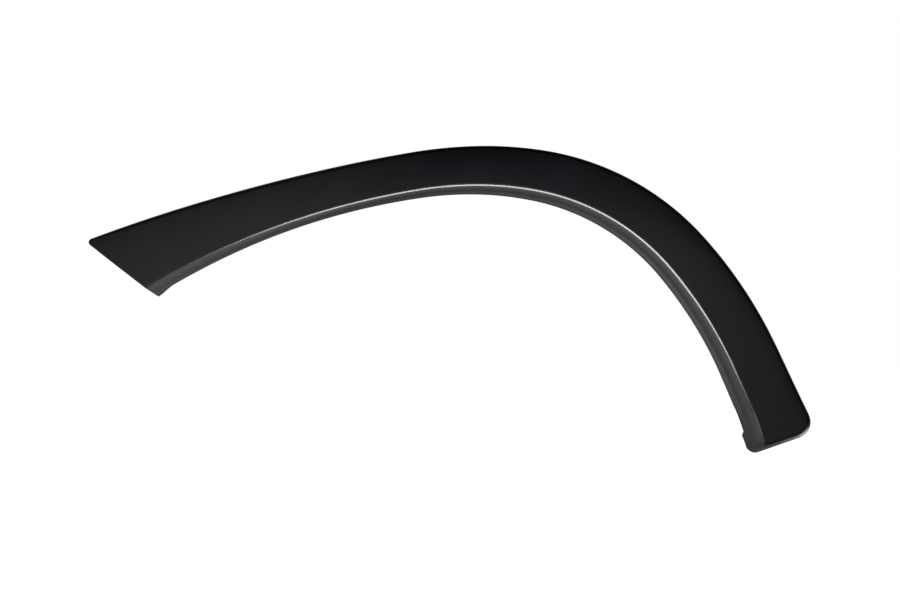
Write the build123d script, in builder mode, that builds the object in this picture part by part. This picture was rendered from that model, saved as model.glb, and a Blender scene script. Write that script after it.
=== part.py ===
"""Wheel arch trim: one black plastic moulding that frames the wheel opening of a car.

Seen from the front, +X runs to the foot, +Z is up and -Y faces the viewer. The origin is the middle
of the clip seat at the crown, on the side that faces the car body. All lengths are in millimetres.
"""

import os
from math import acos, ceil, cos, prod, radians, tan

from build123d import *

# Arch line in the front view: where face and flange would meet if their crease were sharp.
# It is level at the crown and is drawn from there to the front end and to the foot.
crown_drop = 19.5  # from the crown clip seat down to the arch line
crown_front_radius = 449.0
crown_front_turn = 9.33
front_radius = 1005.0
front_turn = 20.74
crown_rear_radius = 393.0
crown_rear_turn = 10.9
corner_radius = 285.5
corner_turn = 38.5
leg_bend_radius = 531.0
leg_bend_turn = 16.3
leg_length = 110.8

# Side of the car: the rim of the trim follows its bow and lies behind the clip seats
bow_radius = 4000.0
seat_to_rim = 6.0

# Width of the face, from the arch line to the outer rim
width_at_front = 88.7
width_at_front_half = 57.0
width_at_crown = 52.7
width_at_corner = 60.3
width_at_leg = 66.0
width_at_foot = 69.0

# Lean of the flange towards the wheel, from the crease down to the rim
lean_at_front = 13.2
lean_at_front_half = 7.2
lean_at_crown = 10.7
lean_at_corner = 15.9
lean_at_leg = 17.0
lean_at_foot = 21.6

# Height of the crease above the rim
crest_at_front = 24.5
crest_at_crown = 26.0
crest_at_foot = 31.0

# Face across the trim: it leaves the crease almost straight and rolls down towards the outer edge
crease_rise = 3.0  # angles against the straight line from the crease to the shoulder
shoulder_fall = 14.0
crease_share = 0.4  # parts of the width in which the face keeps these angles
shoulder_share = 0.25

# Outer edge, wall and rounded edges
shoulder_height = 11.0
shoulder_draft = 8.0
wall = 2.8
edge_radius = 7.0
outer_corner_radius = 21.0
toe_radius = 12.5

# Ends: the front is cut on a skew to a rounded tip, the foot wall is skewed and drafted
front_skew = 23.0
tip_radius = 4.0
foot_skew = 5.1
foot_draft = 9.0

# Free edge of the flange: cut back from the rim up to the toe, and flared to a lip
relief_height = 8.5
relief_ramp = 28.0
toe_step_height = 5.5
toe_step_length = 6.5
toe_step_radius = 6.0
toe_step_to_foot = 28.0
lip_height = 7.5
lip_flat = 1.0
lip_flare_at_front = 0.8
lip_flare_at_crown = 1.5
lip_flare_at_foot = 2.4
lip_runout = 40.0
lip_end_share = 0.1  # part of the flare that is left at the toe

# Clip towers behind the face, each with a seat plate that is slotted from its open side
clip_pitch = 130.0
clips_to_front = 3
clips_to_foot = 3
tower_width = 20.0
tower_length = 26.0
tower_wall = 2.0
seat_plate = 2.5
slot_width = 7.0

# Cross ribs half way between the towers
rib_thickness = 1.8
rib_level = 10.0  # free edge above the rim

# Drawing aids: sections run past the ends and below the rim, and are trimmed there
end_overrun = 8.0
skirt = 20.0
cutter_reach = 60.0
station_pitch = 42.0  # longest distance between two drawn sections
upright_limit = 45.0  # edges nearer than this to the viewing direction stand upright

with BuildLine(Plane.XZ) as front_line:
    crown_front = JernArc((0, -crown_drop), (-1, 0), crown_front_radius, crown_front_turn)
    front_arc = JernArc(crown_front @ 1, crown_front % 1, front_radius, front_turn)
    front_run = width_at_front * tan(radians(front_skew)) + end_overrun
    JernArc(front_arc @ 1, front_arc % 1, front_radius, front_run / radians(front_radius))

with BuildLine(Plane.XZ) as rear_line:
    crown_rear = JernArc((0, -crown_drop), (1, 0), crown_rear_radius, -crown_rear_turn)
    corner = JernArc(crown_rear @ 1, crown_rear % 1, corner_radius, -corner_turn)
    leg_bend = JernArc(corner @ 1, corner % 1, leg_bend_radius, -leg_bend_turn)
    foot_run = width_at_foot * tan(radians(foot_skew)) + end_overrun
    PolarLine(leg_bend @ 1, leg_length + foot_run, direction=leg_bend % 1)

# Named places as distances along the arch line, counted from the crown towards the foot
front_place = -(crown_front.length + front_arc.length)
leg_place = crown_rear.length + corner.length + leg_bend.length
foot_place = leg_place + leg_length
six_places = [front_place, front_place / 2, 0, leg_place / 2, leg_place, foot_place]
three_places = [front_place, 0, foot_place]


def smooth(places, values, place):
    """Value at a place on the smooth curve through the values given at the named places."""
    total = 0
    for here, value in zip(places, values):
        total += value * prod((place - other) / (here - other) for other in places if other != here)
    return total


def face_width(place):
    widths = [width_at_front, width_at_front_half, width_at_crown]
    widths += [width_at_corner, width_at_leg, width_at_foot]
    return smooth(six_places, widths, place)


def flange_lean(place):
    leans = [lean_at_front, lean_at_front_half, lean_at_crown]
    leans += [lean_at_corner, lean_at_leg, lean_at_foot]
    return smooth(six_places, leans, place)


def crest_height(place):
    return smooth(three_places, [crest_at_front, crest_at_crown, crest_at_foot], place)


def lip_flare(place):
    """How far the lip stands out of the flange: it runs out towards the toe."""
    flare = smooth(three_places, [lip_flare_at_front, lip_flare_at_crown, lip_flare_at_foot], place)
    return flare * min(1, lip_end_share + (lip_end - place) / lip_runout)


def rim_depth(x):
    """How far back the rim lies at a distance from the crown, on the bowed side of the car."""
    return seat_to_rim + x * x / (2 * bow_radius)


def across(place):
    """Plane across the arch line: x points outwards, y to the viewer and z along the line to the foot."""
    wire = front_line.wire() if place < 0 else rear_line.wire()
    point = wire.position_at(abs(place), position_mode=PositionMode.LENGTH)
    along = wire.tangent_at(abs(place), position_mode=PositionMode.LENGTH)
    if place < 0:
        along = -along
    return Plane((point.X, rim_depth(point.X), point.Z), x_dir=(-along.Z, 0, along.X), z_dir=along)


def inset_corner(corner_point, before, after, inset):
    """Corner moved to the right of both travel directions that meet in it."""
    sides = Vector(before.Y, -before.X) + Vector(after.Y, -after.X)
    return corner_point + sides * (inset / (1 + before.dot(after)))


def section(place, inset):
    """Filled outline across the trim, set in by a wall and carried on below the rim."""
    crest_point = Vector(0, crest_height(place))
    edge_point = Vector(face_width(place), 0)
    shoulder_point = edge_point + Vector(-shoulder_height * tan(radians(shoulder_draft)), shoulder_height)
    up_flange = (crest_point - Vector(-flange_lean(place), 0)).normalized()
    over_face = (shoulder_point - crest_point).normalized()
    down_edge = (edge_point - shoulder_point).normalized()
    crest_in = inset_corner(crest_point, up_flange, over_face, inset)
    shoulder_in = inset_corner(shoulder_point, over_face, down_edge, inset)
    flange_foot = crest_in - up_flange * ((crest_in.Y + skirt + inset) / up_flange.Y)
    edge_foot = shoulder_in - down_edge * ((shoulder_in.Y + skirt + inset) / down_edge.Y)
    face_span = (shoulder_in - crest_in).length
    leaving = over_face.rotate(Axis.Z, crease_rise) * (face_span * crease_share)
    arriving = over_face.rotate(Axis.Z, -shoulder_fall) * (face_span * shoulder_share)
    with BuildSketch(across(place)) as outline:
        with BuildLine():
            Polyline(shoulder_in, edge_foot, flange_foot, crest_in)
            Bezier(crest_in, crest_in + leaving, shoulder_in - arriving, shoulder_in)
        make_face()
    return outline.sketch


def strip(place, low, high, inner, outer):
    """Filled box across the trim, between two levels above the rim and two distances from the arch line."""
    with BuildSketch(across(place)) as outline:
        with Locations(((inner + outer) / 2, (low + high) / 2)):
            Rectangle(outer - inner, high - low)
    return outline.sketch


def lip_section(place):
    """Outline of the flared lip on the wheel side of the flange, thinned out towards its end."""
    crest_point = Vector(0, crest_height(place))
    up_flange = (crest_point - Vector(-flange_lean(place), 0)).normalized()
    outwards = Vector(-up_flange.Y, up_flange.X)
    low = crest_point - up_flange * (crest_point.Y / up_flange.Y)
    turn = low + up_flange * ((relief_height + lip_flat) / up_flange.Y)
    high = low + up_flange * ((relief_height + lip_height) / up_flange.Y)
    flare = outwards * lip_flare(place)
    buried = outwards * wall / 2
    with BuildSketch(across(place)) as outline:
        Polygon(low - buried, low + flare, turn + flare, high, high - buried, align=None)
    return outline.sketch


def rim_point(place):
    """Point of the outer rim."""
    return across(place).from_local_coords((face_width(place), 0, 0))


def stations(start, end):
    """Evenly spaced places for the drawn sections."""
    count = ceil((end - start) / station_pitch)
    return [start + (end - start) * step / count for step in range(count + 1)]


front_cut = across(front_place).rotated((0, -front_skew, 0))
foot_cut = across(foot_place).rotated((-foot_draft, foot_skew, 0))
whole_run = stations(front_place - front_run, foot_place + foot_run)
toe_step_end = foot_place - toe_step_to_foot
lip_end = toe_step_end - toe_step_length
ramp_start = lip_end - relief_ramp
relief_run = stations(front_place - front_run, ramp_start)
lip_run = stations(front_place - end_overrun, lip_end)

# Front end in plan: x runs along the cut to the tip, y away from the trim
front_plan = Plane(front_cut.origin, x_dir=front_cut.x_dir, z_dir=front_cut.y_dir)
rim_before = front_plan.to_local_coords(rim_point(front_place - front_run))
rim_behind = front_plan.to_local_coords(rim_point(front_place))
rim_way = Vector(rim_behind.X - rim_before.X, rim_behind.Y - rim_before.Y).normalized()
tip = Vector(rim_behind.X - rim_way.X * rim_behind.Y / rim_way.Y, 0)
tip_reach = tip_radius / tan(acos(-rim_way.X) / 2)


def band(inset):
    """The filled band between its two ends with every show edge rounded, set in by a wall."""
    with BuildPart() as form:
        loft([section(place, inset) for place in whole_run])
        split(bisect_by=foot_cut.offset(-inset), keep=Keep.BOTTOM)
        for radius, turn in ((toe_radius, -2), (outer_corner_radius, -1)):
            upright = form.edges().filter_by(lambda edge: abs((edge % 0.5).Y) > cos(radians(upright_limit)))
            fillet(upright.sort_by(Axis.X)[turn], radius - inset)
        show_face = form.faces().sort_by(Axis.Y)[0]
        fillet(show_face.edges().sort_by(Axis.X)[1:], edge_radius - inset)
    return form.part


with BuildPart() as front_side:
    with BuildSketch(front_plan):
        with BuildLine():
            arc_start = tip - Vector(tip_reach, 0)
            arc_end = tip + rim_way * tip_reach
            arc = TangentArc(arc_start, arc_end, tangent=(1, 0))
            far_side = tip.X + front_run
            far_corners = [(far_side, arc_end.Y), (far_side, 2 * front_run), (-front_run, 2 * front_run)]
            Polyline(arc @ 1, *far_corners, (-front_run, 0), arc @ 0)
        make_face()
    extrude(amount=cutter_reach, both=True)

# Clip towers and ribs, drawn too tall: the core leaves room for them up to the wall
seats = []
for number in range(-clips_to_front, clips_to_foot + 1):
    line = across(number * clip_pitch)
    seat_middle = line.from_local_coords((crown_drop, seat_to_rim, 0))
    seats.append(Plane(seat_middle, x_dir=line.x_dir, z_dir=line.y_dir))
ribs = [across((number + 0.5) * clip_pitch) for number in range(-clips_to_front, clips_to_foot + 1)]

with BuildPart() as stiffeners:
    for seat in seats:
        with BuildSketch(seat):
            Rectangle(tower_width, tower_length)
        extrude(amount=crest_at_foot)
    for seat in seats:
        with BuildSketch(seat.offset(seat_plate)):
            with Locations((tower_wall, 0)):
                Rectangle(tower_width, tower_length - 2 * tower_wall)
        extrude(amount=crest_at_foot, mode=Mode.SUBTRACT)
        with BuildSketch(seat):
            with Locations((tower_width / 2, 0)):
                SlotCenterToCenter(tower_width, slot_width)
        extrude(amount=seat_plate, mode=Mode.SUBTRACT)
    for rib in ribs:
        with BuildSketch(rib):
            with Locations((0, rib_level)):
                Rectangle(2 * width_at_front, crest_at_foot, align=(Align.CENTER, Align.MIN))
        extrude(amount=rib_thickness / 2, both=True)

with BuildPart() as core:
    add(band(wall))
    split(bisect_by=front_cut.offset(wall), keep=Keep.TOP)
    add(stiffeners.part, mode=Mode.SUBTRACT)

with BuildPart() as lip:
    loft([lip_section(place) for place in lip_run])

with BuildPart() as relief:
    loft([strip(place, -cutter_reach, relief_height, -cutter_reach, 0) for place in relief_run])
    ramp = [(ramp_start, relief_height), (lip_end, toe_step_height), (toe_step_end, 0)]
    loft([strip(place, -cutter_reach, high, -cutter_reach, 0) for place, high in ramp], ruled=True)
    step_start = across(lip_end).from_local_coords((-cutter_reach / 2, toe_step_height, 0))
    fillet(relief.edges().sort_by_distance(step_start)[0], toe_step_radius)

with BuildPart() as car_side:
    loft([strip(place, -cutter_reach, 0, -cutter_reach, face_width(place) + skirt) for place in whole_run])

with BuildPart() as arch_trim:
    add(band(0))
    add(lip.part)
    add(front_side.part, mode=Mode.SUBTRACT)
    add(relief.part, mode=Mode.SUBTRACT)
    add(car_side.part, mode=Mode.SUBTRACT)
    add(core.part, mode=Mode.SUBTRACT)

arch_trim.part.label = "arch_trim"
os.makedirs("parts", exist_ok=True)
export_step(arch_trim.part, "parts/arch_trim.step")
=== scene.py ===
"""Looks of a wheel arch trim: satin black moulded plastic under soft studio light, seen from its show side.

The solid's facets are too coarse for the thin highlight along the crease, so the trim gets a fine show side.
It is worked out from the solid's sizes, with the rolled edges, the lip and the foot a little closer to the
real part. Behind it the moulding keeps the solid's own back, with its clip towers and ribs.
"""

from collections import namedtuple
from math import cos, inf, pi, prod, radians, sin, tan

import bmesh
import bpy
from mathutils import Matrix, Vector


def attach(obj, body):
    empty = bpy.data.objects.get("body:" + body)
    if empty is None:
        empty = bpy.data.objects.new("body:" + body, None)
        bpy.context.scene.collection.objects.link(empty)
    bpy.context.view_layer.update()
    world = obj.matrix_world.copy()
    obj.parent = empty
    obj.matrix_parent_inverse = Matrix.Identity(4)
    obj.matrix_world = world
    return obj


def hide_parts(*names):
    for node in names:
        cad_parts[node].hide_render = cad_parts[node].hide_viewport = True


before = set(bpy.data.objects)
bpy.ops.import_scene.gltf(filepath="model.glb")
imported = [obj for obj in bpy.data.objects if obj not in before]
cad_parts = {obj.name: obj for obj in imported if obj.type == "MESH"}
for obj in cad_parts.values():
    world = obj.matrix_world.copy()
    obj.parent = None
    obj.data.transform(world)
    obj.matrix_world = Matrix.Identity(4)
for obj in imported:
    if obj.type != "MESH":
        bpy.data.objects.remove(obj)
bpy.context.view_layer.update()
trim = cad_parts["arch_trim"]

# Arch line from the front, in millimetres and degrees: radius and turn of each run from the crown
crown_drop = 19.5
crown_front_radius, crown_front_turn = 449.0, 9.33
front_radius, front_turn, front_overrun_turn = 1005.0, 20.74, 5.0
front_runs = ((crown_front_radius, crown_front_turn), (front_radius, front_turn + front_overrun_turn))
rear_runs = ((393.0, 10.9), (285.5, 38.5), (531.0, 16.3))
leg_length = 110.8

# Places along the arch line, measured from the crown
front_place = -crown_front_radius * radians(crown_front_turn) - front_radius * radians(front_turn)
leg_place = sum(radius * radians(turn) for radius, turn in rear_runs)
foot_place = leg_place + leg_length
six_places = (front_place, front_place / 2, 0, leg_place / 2, leg_place, foot_place)
three_places = (front_place, 0, foot_place)

# Sizes across the trim at these places, from the front end to the foot
face_widths = (88.7, 57.0, 52.7, 60.3, 66.0, 69.0)
flange_leans = (13.2, 7.2, 10.7, 15.9, 17.0, 21.6)
crest_heights = (24.5, 25.7, 31.0)
lip_flares = (1.1, 1.9, 3.2)
shoulder_height, shoulder_slope = 11.0, tan(radians(8.0))
crease_rise, shoulder_fall = 5.5, 14.0  # angles against the straight line from the crease to the shoulder
crease_share, shoulder_share = 0.4, 0.25  # parts of the width in which the face keeps these angles
bow_radius, seat_to_rim = 4000.0, 6.0  # bow of the car side, and how far the rim lies behind the clip seats

# Ends of the trim
front_slope, foot_slope, foot_draft = tan(radians(23.0)), tan(radians(5.1)), tan(radians(9.0))
outer_corner_radius, tip_radius = 21.0, 4.0
toe_radius, toe_top_radius = 12.5, 8.5  # at the rim and at the crease
toe_pull, toe_pull_reach = 5.6, 56.0  # how far the crease swings to the wheel before it dies out in the toe
foot_lean = 3.4  # how far the top of the foot wall leans in beyond its draft
foot_reach = 18.0  # length in which the back follows this lean, and the length in which it fades in

# Free edge of the flange: cut back from the rim, flared to a lip, with a step down to the toe
relief_height, relief_ramp = 8.5, 28.0
lip_height, lip_flat = 7.5, 1.0
lip_runout, lip_end_share = 40.0, 0.1
toe_step_height, toe_step_length, toe_step_to_foot = 5.5, 6.5, 28.0
toe_step_end = foot_place - toe_step_to_foot
lip_end = toe_step_end - toe_step_length
ramp_start = lip_end - relief_ramp
front_drop, front_drop_reach = 5.0, 30.0  # how far the free edge comes down to the rim at the front cut

# Rolled edges: how far each roll reaches over the face and down the wall
crease_over_face = (5.0, 4.8, 4.6, 4.4, 4.4, 5.5)
crease_down_flange = (12.0, 9.5, 9.0, 12.0, 14.0, 16.0)
crease_fullness = (1.8, 1.5, 1.3, 1.8, 1.7, 1.4)  # how far it stands out of the arch line to the wheel
outer_roll, foot_roll, tip_roll, cut_roll, sharp_roll = 5.0, 3.8, 2.4, 0.7, 0.02
roll_pull = 0.6  # fullness of a roll
roll_runout, cut_runout = 40.0, 10.0  # lengths in which a roll changes at the ends and on the front cut

# Fineness of the show side
rows, columns = 420, 28
corner_steps, tip_steps = 12, 6
roll_steps, wall_steps = 12, 10
end_share = 0.12  # part of the length in which the rows bend to the shape of the ends
skew_reach = 90.0  # length in which the rows turn into the slant of the front cut
side_reach, tip_side_reach = 50.0, 30.0  # how far off a corner the ways of its two sides are read
slope_step = 2.0  # distance on the face over which a roll reads the slope that it starts with
halvings, rounds = 24, 6  # steps in which a point settles on the face, and on an end of the trim

# Mesh of the solid and of the finished piece
millimetres = 1000  # in a metre
merge_distance = 1e-6
facing_front = -0.7  # a face whose normal goes further than this along Y shows to the front
same_side_angle, smooth_angle = radians(40), radians(30)

# Studio, in metres
camera_place, lens_mm, sensor_mm = (-0.035, -2.0, -0.160), 64.0, 36.0
floor_level, floor_size, floor_white = -0.56, 12.0, 0.985
softbox_place, softbox_target, softbox_size = (-0.052, -0.436, -0.302), (-0.277, 0, -0.116), (0.583, 0.177)
card_place, card_target, card_size = (0.80, 0.50, floor_level + 0.01), (0.80, 0.50, 0), (0.40, 0.8)
softbox_radiance, card_radiance = 28.0, 1.3

# Room light, as levels at places from one side of the room (0) to the other (1)
levels_upwards = ((0.0, 0.36), (0.5, 0.34), (0.59, 0.36), (0.64, 0.42), (0.685, 0.14), (0.74, 0.004))
levels_across = ((0.34, 0.33), (0.45, 0.01), (0.54, 0.01), (0.7, 0.15))
strengths_to_back = ((0.125, 1.0), (0.375, 0.08), (0.65, 0.08), (0.85, 1.0))

# A stop on the way round the face: the edge if it were sharp, the end of the wall below it, where the roll
# leaves the face, how far it reaches down the wall, and whether the wall has the flared lip
EdgeStop = namedtuple("EdgeStop", "top low inner down lip")


def smooth(places, values, place):
    """Value at a place on the smooth curve through the values given at the named places."""
    total = 0
    for here, value in zip(places, values):
        total += value * prod((place - other) / (here - other) for other in places if other != here)
    return total


def ease(way):
    """Share from 0 to 1 that starts and ends gently."""
    way = min(1, max(0, way))
    return way * way * (3 - 2 * way)


def eased(places, values, place):
    """Value at a place, eased from one named place to the next."""
    result = values[0]
    for left, right, low, high in zip(places, places[1:], values, values[1:]):
        if place > left:
            result = low + (high - low) * ease((place - left) / (right - left))
    return result


def spread(start, end, count):
    """Evenly spread values from start to end."""
    return [start + (end - start) * step / count for step in range(count + 1)]


def bezier(points, t):
    start, one, two, end = points
    return start * (1 - t) ** 3 + one * (3 * t * (1 - t) ** 2) + two * (3 * t * t * (1 - t)) + end * t ** 3


def turned(way, angle):
    c, s = cos(radians(angle)), sin(radians(angle))
    return Vector((way.x * c - way.y * s, way.x * s + way.y * c))


def arch_point(place):
    """Point of the arch line and its heading, at a distance from the crown."""
    side = 1 if place >= 0 else -1
    x, z, heading, left = 0.0, -crown_drop, 0.0, abs(place)
    for radius, turn in rear_runs if side > 0 else front_runs:
        step = min(left, radius * radians(turn))
        ahead = heading + step / radius
        x += radius * (sin(ahead) - sin(heading))
        z += radius * (cos(ahead) - cos(heading))
        heading = ahead
        left -= step
    return side * (x + left * cos(heading)), z - left * sin(heading), side * heading


def spot(place, out, rise):
    """Point in metres: a place along the arch line, a distance outwards and a rise above the rim."""
    x, z, heading = arch_point(place)
    depth = seat_to_rim + x * x / (2 * bow_radius) - rise
    return Vector((x + out * sin(heading), depth, z + out * cos(heading))) / millimetres


def face_width(place):
    return smooth(six_places, face_widths, place)


def flange_lean(place):
    return smooth(six_places, flange_leans, place)


def crest(place):
    return smooth(three_places, crest_heights, place)


def shoulder_out(place):
    return face_width(place) - shoulder_height * shoulder_slope


def face_rise(place, out):
    """Rise of the face above the rim at a distance outwards from the arch line."""
    start = Vector((0, crest(place)))
    end = Vector((shoulder_out(place), shoulder_height))
    leaving = turned(end - start, crease_rise) * crease_share
    arriving = turned(end - start, -shoulder_fall) * shoulder_share
    if out < 0:
        return start.y + out * leaving.y / leaving.x
    low, high = 0.0, 1.0
    for _ in range(halvings):
        t = (low + high) / 2
        at = bezier((start, start + leaving, end - arriving, end), t)
        if at.x < out:
            low = t
        else:
            high = t
    return at.y


def on_face(plan):
    return spot(plan.x, plan.y, face_rise(plan.x, plan.y))


def crease_swing(place):
    """How far the crease swings from the arch line to the wheel, near the toe."""
    return toe_pull * ease((place - foot_place + toe_pull_reach) / toe_pull_reach)


def wheel_side(place, rise):
    """Distance outwards of the flange at a rise above the rim. It is on the wheel's side, so negative."""
    swing = crease_swing(place)
    return -swing - (flange_lean(place) - swing) * (1 - rise / crest(place))


def outer_side(place, rise):
    """Distance outwards of the outer wall at a rise above the rim."""
    return face_width(place) - rise * shoulder_slope


def free_edge(place):
    """Rise of the flange's free edge: cut back from the rim up to the toe."""
    if place < lip_end:
        way = max(0, (place - ramp_start) / (lip_end - ramp_start))
        drop = front_drop * ease(1 - (place - front_place) / front_drop_reach)
        return relief_height - drop + (toe_step_height - relief_height) * way
    return toe_step_height * (1 - ease((place - lip_end) / (toe_step_end - lip_end)))


def lip_flare(place):
    """How far the lip stands out of the flange: it runs out towards the toe."""
    flare = smooth(three_places, lip_flares, place)
    return flare * min(1, max(0, lip_end_share + (lip_end - place) / lip_runout))


def front_start(out):
    """Place of the slanted front cut at a distance outwards."""
    end_x, end_z, heading = arch_point(front_place)
    along = Vector((cos(heading), -sin(heading)))
    outward = Vector((sin(heading), cos(heading)))
    place = front_place - out * front_slope
    for _ in range(rounds):
        x, z, here = arch_point(place)
        off = Vector((x + out * sin(here) - end_x, z + out * cos(here) - end_z))
        place -= off.dot(along) + off.dot(outward) * front_slope
    return place


def foot_end(out, rise):
    """Place of the foot wall at a distance outwards and a rise above the rim."""
    return foot_place + out * foot_slope - rise * foot_draft - foot_lean * min(1, rise / shoulder_height)


def rounded_corner(corner, before, after, radius, count):
    """Points round a corner between two straight ways, each given by a point on it."""
    one = (before - corner).normalized()
    two = (after - corner).normalized()
    half = one.angle(two) / 2
    middle = corner + (one + two).normalized() * (radius / sin(half))
    start = corner + one * (radius / tan(half)) - middle
    end = corner + two * (radius / tan(half)) - middle
    turn = start.angle(end)
    ways = spread(0, 1, count)
    return [middle + (start * sin((1 - t) * turn) + end * sin(t * turn)) / sin(turn) for t in ways]


def toe_corner(rise):
    """Plan points round the toe, from the flange to the foot wall, at a rise above the rim."""
    out = wheel_side(foot_place, rise)
    place = foot_end(out, rise)
    before = Vector((place - side_reach, wheel_side(place - side_reach, rise)))
    after = Vector((foot_end(out + side_reach, rise), out + side_reach))
    radius = toe_radius + (toe_top_radius - toe_radius) * rise / crest(foot_place)
    return rounded_corner(Vector((place, wheel_side(place, rise))), before, after, radius, corner_steps)


def outer_corner(rise):
    """Plan points round the outer corner of the foot, from the foot wall to the outer wall."""
    out = outer_side(foot_place, rise)
    place = foot_end(out, rise)
    before = Vector((foot_end(out - side_reach, rise), out - side_reach))
    after = Vector((place - side_reach, outer_side(place - side_reach, rise)))
    corner = Vector((place, outer_side(place, rise)))
    return rounded_corner(corner, before, after, outer_corner_radius, corner_steps)


def tip_corner(rise):
    """Plan points round the tip, from the outer wall to the front cut."""
    out = outer_side(front_place, rise)
    for _ in range(rounds):
        place = front_start(out)
        out = outer_side(place, rise)
    stretch = 1 + out / front_radius  # the outer side of the bend is longer than the arch line
    before = Vector(((place + tip_side_reach) * stretch, outer_side(place + tip_side_reach, rise)))
    after = Vector((front_start(out - tip_side_reach) * stretch, out - tip_side_reach))
    points = rounded_corner(Vector((place * stretch, out)), before, after, tip_radius, tip_steps)
    return [Vector((point.x / stretch, point.y)) for point in points]


def at_face_height(corner, step, rise):
    """Corner point where it meets the face."""
    for _ in range(rounds):
        point = corner(rise)[step]
        rise = face_rise(point.x, point.y)
    return Vector((point.x, point.y, rise))


def corner_stops(tops, lows, overs, downs):
    """Edge stops round a corner, with the roll changing from one side's reach to the other's."""
    stops = []
    last = len(tops) - 1
    for step, (top, low) in enumerate(zip(tops, lows)):
        way = (tops[min(last, step + 1)] - tops[max(0, step - 1)]).xy.normalized()
        share = step / last
        over = overs[0] + (overs[1] - overs[0]) * share
        down = downs[0] + (downs[1] - downs[0]) * share
        inner = top.xy + Vector((-way.y, way.x)) * over
        stops.append(EdgeStop(top, Vector((low.x, low.y, 0)), inner, down, False))
    return stops


def crease_stops(stop, low_stop):
    """Edge stops along the crease from the front cut to the toe."""
    stops = []
    for place in spread(front_place, stop, rows - corner_steps // 2)[:-1]:
        over = eased(six_places, crease_over_face, place)
        down = eased(six_places, crease_down_flange, place)
        low_rise = free_edge(place)
        low_out = wheel_side(place, low_rise)
        skew = max(0, 1 - (place - front_place) / skew_reach) ** 2
        toe_share = max(0, (place - toe_step_end) / (stop - toe_step_end))
        low_place = place + (front_start(low_out) - front_place) * skew + (low_stop - stop) * toe_share
        swing = crease_swing(place)
        inner = Vector((place + (front_start(over) - front_place) * skew, over - swing))
        full = eased(six_places, crease_fullness, place) * ease((stop - place) / roll_runout)
        top_place = place + (front_start(-full) - front_place) * skew
        top = Vector((top_place, -swing - full, face_rise(place, -swing)))
        stops.append(EdgeStop(top, Vector((low_place, low_out, low_rise)), inner, down, True))
    return stops


def foot_stops(tops, lows):
    """Edge stops along the foot between its two corners."""
    stops = []
    for out, low_out in list(zip(tops, lows))[1:-1]:
        rise = crest(foot_place) / 2
        for _ in range(rounds):
            rise = face_rise(foot_end(out, rise), out)
        top = Vector((foot_end(out, rise), out, rise))
        low = Vector((foot_end(low_out, 0), low_out, 0))
        stops.append(EdgeStop(top, low, Vector((top.x - foot_roll, out)), foot_roll, False))
    return stops


def outer_stops(tops, lows):
    """Edge stops back along the outer edge to the tip, where the roll tightens."""
    stops = []
    for place, low_place in list(zip(tops, lows))[1:-1]:
        roll = tip_roll + (outer_roll - tip_roll) * ease((place - tops[-1]) / roll_runout)
        top = Vector((place, shoulder_out(place), shoulder_height))
        low = Vector((low_place, face_width(low_place), 0))
        stops.append(EdgeStop(top, low, Vector((place, top.y - roll)), roll, False))
    return stops


def front_stops(start_out, end_out):
    """Edge stops down the front cut: its edge is just broken, and runs out where the crease begins."""
    stops = []
    for out in spread(start_out, end_out, columns - tip_steps // 2)[1:]:
        place = front_start(out)
        fade = min(1, (out - end_out) / cut_runout)
        roll = sharp_roll + cut_roll * fade
        top = Vector((place, out, face_rise(place, out)))
        inner = Vector((place + roll if fade > 0 else place, out))
        stops.append(EdgeStop(top, Vector((place, out, 0)), inner, roll, False))
    return stops


def edge_way():
    """All edge stops round the face: crease, toe, foot, outer corner, outer edge, tip and front cut."""
    toe_low, outer_low, tip_low = toe_corner(0), outer_corner(0), tip_corner(0)
    toe_top = [at_face_height(toe_corner, step, crest(foot_place)) for step in range(corner_steps + 1)]
    outer_top = [at_face_height(outer_corner, step, shoulder_height) for step in range(corner_steps + 1)]
    tip_top = [at_face_height(tip_corner, step, shoulder_height) for step in range(tip_steps + 1)]
    toe_over, toe_down = (crease_over_face[-1], foot_roll), (crease_down_flange[-1], foot_roll)
    foot_columns = columns - corner_steps
    outer_rows = rows - corner_steps // 2 - tip_steps // 2
    stops = crease_stops(toe_top[0].x, toe_low[0].x)
    stops += corner_stops(toe_top, toe_low, toe_over, toe_down)
    stops += foot_stops(spread(toe_top[-1].y, outer_top[0].y, foot_columns),
                        spread(toe_low[-1].y, outer_low[0].y, foot_columns))
    stops += corner_stops(outer_top, outer_low, (foot_roll, outer_roll), (foot_roll, outer_roll))
    stops += outer_stops(spread(outer_top[-1].x, tip_top[0].x, outer_rows),
                         spread(outer_low[-1].x, tip_low[0].x, outer_rows))
    stops += corner_stops(tip_top, tip_low, (tip_roll, cut_roll), (tip_roll, cut_roll))
    stops += front_stops(tip_top[-1].y, crease_over_face[0])
    return stops


def face_plan(stops, row, column):
    """Plan point of the face: across from crease to outer edge, bent to the front cut and the foot.

    The stops go round the face: along the crease, up the foot, back along the outer edge, down the front.
    """
    a, b = row / rows, column / columns
    tip = 2 * rows + columns
    front_line = stops[0].inner.lerp(stops[tip].inner, b)
    foot_line = stops[rows].inner.lerp(stops[rows + columns].inner, b)
    front_bend = stops[tip + columns - column].inner - front_line
    foot_bend = stops[rows + column].inner - foot_line
    front_share = max(0, 1 - a / end_share) ** 2
    foot_share = max(0, 1 - (1 - a) / end_share) ** 2
    across = stops[row].inner.lerp(stops[tip - row].inner, b)
    return across + front_bend * front_share + foot_bend * foot_share


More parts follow.
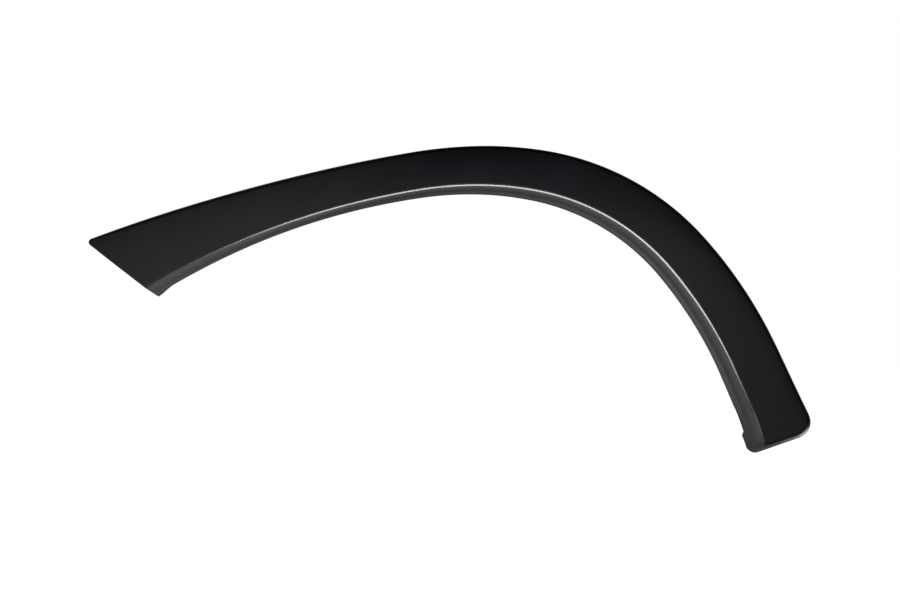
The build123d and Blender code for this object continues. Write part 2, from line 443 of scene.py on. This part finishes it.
def down_the_wall(stop):
    """Points from the face over the rolled edge and down the wall to its end, without the first."""
    top, low = stop.top, stop.low
    start = on_face(stop.inner)
    before = on_face(stop.inner + (stop.inner - top.xy).normalized() * slope_step)
    edge = spot(*top)
    roll_end = top + (low - top) * (stop.down / (low - top).length)
    end = spot(*roll_end)
    leaving = start + (start - before).normalized() * ((edge - start).length * roll_pull)
    arriving = end + (edge - end) * roll_pull
    points = [bezier((start, leaving, arriving, end), t) for t in spread(0, 1, roll_steps)[1:]]
    flare = lip_flare(top.x) if stop.lip else 0
    outwards = Vector((low.z - top.z, top.y - low.y)).normalized()
    lip_top = min(relief_height + lip_height, roll_end.z)
    for share in spread(0, 1, wall_steps)[1:]:
        at = roll_end + (low - roll_end) * share
        raised = outwards * (flare * ease((lip_top - at.z) / (lip_top - relief_height - lip_flat)))
        points.append(spot(at.x, at.y + raised.x, at.z + raised.y))
    return points


def show_side(mesh):
    """Fine show side with its walls. Gives back the points of its open edge in order."""
    stops = edge_way()
    grid = []
    for row in range(rows + 1):
        grid.append([mesh.verts.new(on_face(face_plan(stops, row, column))) for column in range(columns + 1)])
    for here, there in zip(grid, grid[1:]):
        for column in range(columns):
            mesh.faces.new((here[column], there[column], there[column + 1], here[column + 1]))
    border = [line[0] for line in grid] + grid[-1][1:]
    border += [line[-1] for line in reversed(grid[:-1])] + list(reversed(grid[0][:-1]))
    walls = []
    for first, stop in zip(border, stops):
        walls.append([first] + [mesh.verts.new(point) for point in down_the_wall(stop)])
    for here, there in zip(walls, walls[1:]):
        for one, two, three, four in zip(here, here[1:], there[1:], there):
            mesh.faces.new((one, two, three, four))
    notch = [mesh.verts.new(spot(front_place, 0, rise)) for rise in (0, relief_height)]
    mesh.faces.new(walls[-1] + notch + list(reversed(walls[0][1:])))
    return [wall[-1] for wall in walls] + notch


def solid_back():
    """Back of the solid without its show side and rim, and the points of its open edge in order."""
    back = bmesh.new()
    back.from_mesh(trim.data)
    bmesh.ops.remove_doubles(back, verts=back.verts, dist=merge_distance)
    back.normal_update()
    start = max(back.faces, key=lambda face: face.calc_area() if face.normal.y < facing_front else 0)
    shown, waiting = {start}, [start]
    while waiting:
        face = waiting.pop()
        for neighbour in {other for edge in face.edges for other in edge.link_faces} - shown:
            if neighbour.normal.angle(face.normal) < same_side_angle:
                shown.add(neighbour)
                waiting.append(neighbour)
    bmesh.ops.delete(back, geom=list({point for face in shown for point in face.verts}), context="VERTS")
    open_edges = [edge for edge in back.edges if edge.is_boundary]
    loop = [open_edges[0].verts[0], open_edges[0].verts[1]]
    while len(loop) < len(open_edges):
        steps = [edge.other_vert(loop[-1]) for edge in loop[-1].link_edges if edge.is_boundary]
        loop.append(steps[0] if steps[0] is not loop[-2] else steps[1])
    return back, loop


def lean_foot_in(back):
    """Inner side of the foot wall, moved in with the show side so that the wall keeps its thickness."""
    x, z, heading = arch_point(foot_place)
    along = Vector((cos(heading), 0, -sin(heading)))
    outward = Vector((sin(heading), 0, cos(heading)))
    for point in back.verts:
        off = point.co * millimetres - Vector((x, 0, z))
        place, out = foot_place + off.dot(along), off.dot(outward)
        if place < foot_place - 2 * foot_reach:
            continue
        rise = seat_to_rim + arch_point(place)[0] ** 2 / (2 * bow_radius) - off.y
        height = min(1, max(0, rise / face_rise(place, max(0, out))))
        near = ease((place - foot_place + 2 * foot_reach) / foot_reach)
        point.co -= along * (foot_lean * height * near / millimetres)


def loop_area(points):
    """Area inside a loop in the front view, negative when the loop runs the other way round."""
    pairs = zip(points, points[1:] + points[:1])
    return sum(one.co.x * two.co.z - two.co.x * one.co.z for one, two in pairs) / 2


def close_rim(mesh, outer, inner):
    """Rim faces between two loops that run side by side, always over the shorter step."""
    if loop_area(outer) * loop_area(inner) < 0:
        inner.reverse()
    first = min(range(len(inner)), key=lambda number: (inner[number].co - outer[0].co).length)
    inner = inner[first:] + inner[:first + 1]
    outer = outer + outer[:1]
    i = j = 0
    while i < len(outer) - 1 or j < len(inner) - 1:
        out_step = (outer[i + 1].co - inner[j].co).length if i < len(outer) - 1 else inf
        in_step = (outer[i].co - inner[j + 1].co).length if j < len(inner) - 1 else inf
        if out_step < in_step:
            mesh.faces.new((outer[i], outer[i + 1], inner[j]))
            i += 1
        else:
            mesh.faces.new((outer[i], inner[j + 1], inner[j]))
            j += 1


def moulding():
    """The whole trim as one closed piece: fine show side, rim, and the solid's back."""
    mesh = bmesh.new()
    outer_loop = show_side(mesh)
    back, back_loop = solid_back()
    lean_foot_in(back)
    twins = {point: mesh.verts.new(point.co) for point in back.verts}
    for face in back.faces:
        mesh.faces.new([twins[point] for point in face.verts])
    close_rim(mesh, outer_loop, [twins[point] for point in back_loop])
    bmesh.ops.triangulate(mesh, faces=[face for face in mesh.faces if len(face.verts) > 4])
    bmesh.ops.recalc_face_normals(mesh, faces=mesh.faces)
    piece = bpy.data.objects.new("arch_trim_moulding", bpy.data.meshes.new("arch_trim_moulding"))
    bpy.context.collection.objects.link(piece)
    mesh.to_mesh(piece.data)
    bpy.ops.object.select_all(action="DESELECT")
    piece.select_set(True)
    bpy.context.view_layer.objects.active = piece
    bpy.ops.object.shade_smooth_by_angle(angle=smooth_angle)
    return piece


def new_material(name):
    material = bpy.data.materials.new(name)
    material.use_nodes = True
    return material, material.node_tree.nodes, material.node_tree.links


def fade(nodes, links, value, start_end, levels):
    """Level that goes from the first to the second one while the value goes from start to end."""
    node = nodes.new("ShaderNodeMapRange")
    node.inputs["From Min"].default_value, node.inputs["From Max"].default_value = start_end
    node.inputs["To Min"].default_value, node.inputs["To Max"].default_value = levels
    links.new(value, node.inputs["Value"])
    return node.outputs["Result"]


def satin_plastic():
    """Black plastic with a satin finish: slight clouds from the flow of the melt and a very fine grain."""
    material, nodes, links = new_material("satin_black_plastic")
    shader = nodes["Principled BSDF"]
    shader.inputs["IOR"].default_value = 1.5
    place = nodes.new("ShaderNodeTexCoord")
    clouds = nodes.new("ShaderNodeTexNoise")
    clouds.inputs["Scale"].default_value = 14
    clouds.inputs["Detail"].default_value = 3
    tone = nodes.new("ShaderNodeValToRGB")
    deep, pale = tone.color_ramp.elements
    deep.position, deep.color = 0.3, (0.0016, 0.0017, 0.0026, 1)
    pale.position, pale.color = 0.7, (0.0026, 0.0028, 0.0040, 1)
    roughness = fade(nodes, links, clouds.outputs["Fac"], (0.25, 0.75), (0.265, 0.305))
    grain = nodes.new("ShaderNodeTexNoise")
    grain.inputs["Scale"].default_value = 1600
    grain.inputs["Detail"].default_value = 1
    bump = nodes.new("ShaderNodeBump")
    bump.inputs["Strength"].default_value = 0.06
    bump.inputs["Distance"].default_value = 0.00004
    links.new(place.outputs["Object"], clouds.inputs["Vector"])
    links.new(place.outputs["Object"], grain.inputs["Vector"])
    links.new(clouds.outputs["Fac"], tone.inputs["Fac"])
    links.new(grain.outputs["Fac"], bump.inputs["Height"])
    links.new(tone.outputs["Color"], shader.inputs["Base Color"])
    links.new(roughness, shader.inputs["Roughness"])
    links.new(bump.outputs["Normal"], shader.inputs["Normal"])
    return material


def studio_floor():
    """Pale matt floor that glows white to the camera and, for glossy rays only, glows as a painted reflection
    that shows grey in the plastic, lightest at the front left.
    """
    material, nodes, links = new_material("pale_floor")
    shader = nodes["Principled BSDF"]
    shader.inputs["Base Color"].default_value = (0.8, 0.8, 0.8, 1)
    shader.inputs["Roughness"].default_value = 0.9
    shader.inputs["Emission Color"].default_value = (1, 1, 1, 1)
    place = nodes.new("ShaderNodeTexCoord")
    split = nodes.new("ShaderNodeSeparateXYZ")
    links.new(place.outputs["Object"], split.inputs["Vector"])
    # Painted reflection: for glossy rays the floor glows at a level that falls towards the back and to the
    # right, and the plastic mirrors it as grey.
    from_front = fade(nodes, links, split.outputs["Y"], (0.0, 0.5), (0.60, 0.075))
    from_left = fade(nodes, links, split.outputs["X"], (-0.2, 0.05), (1.0, 0.2))
    path = nodes.new("ShaderNodeLightPath")
    painted_reflection_level = nodes.new("ShaderNodeMath")
    painted_reflection_level.operation = "MULTIPLY"
    painted_reflection = nodes.new("ShaderNodeMath")
    painted_reflection.operation = "MULTIPLY"
    glow = nodes.new("ShaderNodeMath")
    glow.operation = "MULTIPLY_ADD"
    glow.inputs[1].default_value = floor_white
    links.new(from_front, painted_reflection_level.inputs[0])
    links.new(from_left, painted_reflection_level.inputs[1])
    links.new(path.outputs["Is Glossy Ray"], painted_reflection.inputs[0])
    links.new(painted_reflection_level.outputs["Value"], painted_reflection.inputs[1])
    links.new(path.outputs["Is Camera Ray"], glow.inputs[0])
    links.new(painted_reflection.outputs["Value"], glow.inputs[2])
    links.new(glow.outputs["Value"], shader.inputs["Emission Strength"])
    return material


def room_ramp(nodes, links, way, stops):
    """Grey level that changes along one way through the room."""
    ramp = nodes.new("ShaderNodeValToRGB")
    for number, (position, grey) in enumerate(stops):
        given = number < len(ramp.color_ramp.elements)
        stop = ramp.color_ramp.elements[number] if given else ramp.color_ramp.elements.new(position)
        stop.position = position
        stop.color = (grey, grey, grey, 1)
    links.new(fade(nodes, links, way, (-1, 1), (0, 1)), ramp.inputs["Fac"])
    return ramp.outputs["Color"]


def studio_world():
    """Soft room light from the front and back, dark overhead, with a white backdrop for the camera."""
    world = bpy.data.worlds.new("studio")
    world.use_nodes = True
    bpy.context.scene.world = world
    nodes, links = world.node_tree.nodes, world.node_tree.links
    room = nodes["Background"]
    place = nodes.new("ShaderNodeTexCoord")
    split = nodes.new("ShaderNodeSeparateXYZ")
    links.new(place.outputs["Generated"], split.inputs["Vector"])
    lighter = nodes.new("ShaderNodeMix")
    lighter.data_type = "RGBA"
    lighter.blend_type = "LIGHTEN"
    lighter.inputs["Factor"].default_value = 1
    links.new(room_ramp(nodes, links, split.outputs["Z"], levels_upwards), lighter.inputs["A"])
    links.new(room_ramp(nodes, links, split.outputs["X"], levels_across), lighter.inputs["B"])
    links.new(lighter.outputs["Result"], room.inputs["Color"])
    links.new(room_ramp(nodes, links, split.outputs["Y"], strengths_to_back), room.inputs["Strength"])
    backdrop = nodes.new("ShaderNodeBackground")
    backdrop.inputs["Color"].default_value = (1, 1, 1, 1)
    path = nodes.new("ShaderNodeLightPath")
    seen = nodes.new("ShaderNodeMixShader")
    links.new(path.outputs["Is Camera Ray"], seen.inputs["Fac"])
    links.new(room.outputs["Background"], seen.inputs[1])
    links.new(backdrop.outputs["Background"], seen.inputs[2])
    links.new(seen.outputs["Shader"], nodes["World Output"].inputs["Surface"])


def softbox(name, place, target, size, radiance):
    """Rectangular lamp of an even brightness that faces a target."""
    bpy.ops.object.light_add(type="AREA", location=place)
    lamp = bpy.context.object
    lamp.name = name
    lamp.data.shape = "RECTANGLE"
    lamp.data.size, lamp.data.size_y = size
    lamp.data.energy = radiance * pi * size[0] * size[1]
    lamp.rotation_euler = (Vector(target) - Vector(place)).to_track_quat("-Z", "Y").to_euler()
    lamp.visible_camera = False


piece = moulding()
piece.data.materials.append(satin_plastic())
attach(piece, "root")
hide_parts("arch_trim")

bpy.ops.object.select_all(action="DESELECT")
bpy.ops.mesh.primitive_plane_add(size=floor_size, location=(0, 0, floor_level))
floor = bpy.context.object
floor.name = "floor"
floor.data.materials.append(studio_floor())

studio_world()
softbox("low_softbox", softbox_place, softbox_target, softbox_size, softbox_radiance)
softbox("foot_card", card_place, card_target, card_size, card_radiance)

bpy.ops.object.camera_add(location=camera_place, rotation=(radians(90), 0, 0))
camera = bpy.context.object
camera.data.lens = lens_mm
camera.data.sensor_width = sensor_mm
bpy.context.scene.camera = camera
bpy.context.scene.view_settings.view_transform = "Standard"
